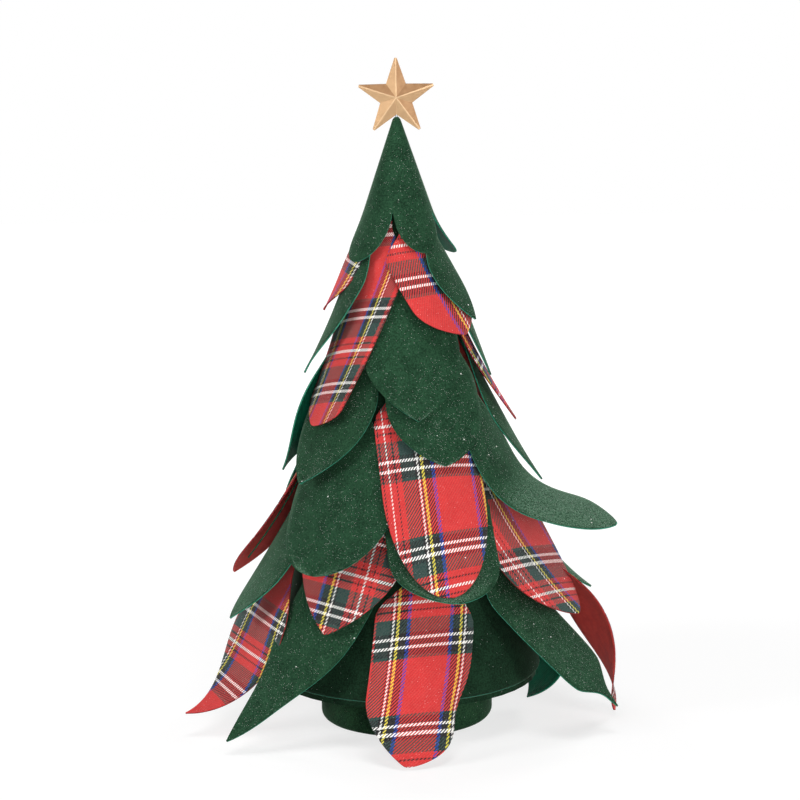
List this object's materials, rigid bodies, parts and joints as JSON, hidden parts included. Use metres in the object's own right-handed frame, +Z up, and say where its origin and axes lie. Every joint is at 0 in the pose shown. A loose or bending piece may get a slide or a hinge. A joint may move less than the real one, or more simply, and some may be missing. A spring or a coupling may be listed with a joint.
{
  "type": "tabletop christmas tree",
  "caption": "Table decoration: a cloth-covered cone on a round plinth, clad in overlapping velvet and tartan leaves, with a lobed cap and a faceted star.",
  "frame": {"origin": "centre of the pad under the plinth, on the table", "axes": "+Z up along the cone, -Y towards the front"},
  "size_m": [0.2669, 0.2249, 0.4004],
  "materials": {
    "velvet": "dark green flocked velvet with fine glitter",
    "tartan": "red tartan twill",
    "felt": "felt",
    "foam": "expanded foam",
    "board": "grey board with green cloth on it",
    "wood": "plain",
    "gold": "gold lacquer",
    "steel": "drawn wire",
    "wire": "green coated wire"
  },
  "bodies": {
    "root": {"cap": "velvet", "cone_board": "board", "cone_cloth": "velvet", "cone_core": "foam", "joining_dowel": "wood", "leaf_a1": "tartan", "leaf_a2": "velvet", "leaf_a3": "velvet", "leaf_a4": "tartan", "leaf_a5": "velvet", "leaf_a6": "tartan", "leaf_a7": "tartan", "leaf_a8": "velvet", "leaf_b1": "velvet", "leaf_b2": "tartan", "leaf_b3": "tartan", "leaf_b4": "velvet", "leaf_b5": "velvet", "leaf_b6": "velvet", "leaf_c1": "velvet", "leaf_c2": "tartan", "leaf_c3": "velvet", "leaf_c4": "tartan", "leaf_c5": "velvet", "leaf_c6": "velvet", "leaf_d1": "tartan", "leaf_d1_wire": "wire", "leaf_d2": "velvet", "leaf_d3": "tartan", "leaf_d4": "velvet", "leaf_d5": "velvet", "leaf_d6": "tartan", "leaf_d7": "velvet", "leaf_d8": "velvet", "leaf_e1": "velvet", "leaf_e2": "velvet", "leaf_e3": "tartan", "leaf_e4": "velvet", "leaf_e5": "tartan", "leaf_e6": "velvet", "leaf_e7": "tartan", "leaf_e8": "tartan", "leaf_e9": "velvet", "leaf_f1": "velvet", "leaf_f2": "tartan", "leaf_f3": "velvet", "leaf_f4": "tartan", "leaf_f5": "tartan", "leaf_f6": "tartan", "leaf_f7": "tartan", "leaf_f8": "velvet", "leaf_f9": "velvet", "plinth_cloth": "velvet", "plinth_core": "foam", "plinth_pad": "felt", "star": "gold", "star_pin": "steel"}
  },
  "joints": []
}
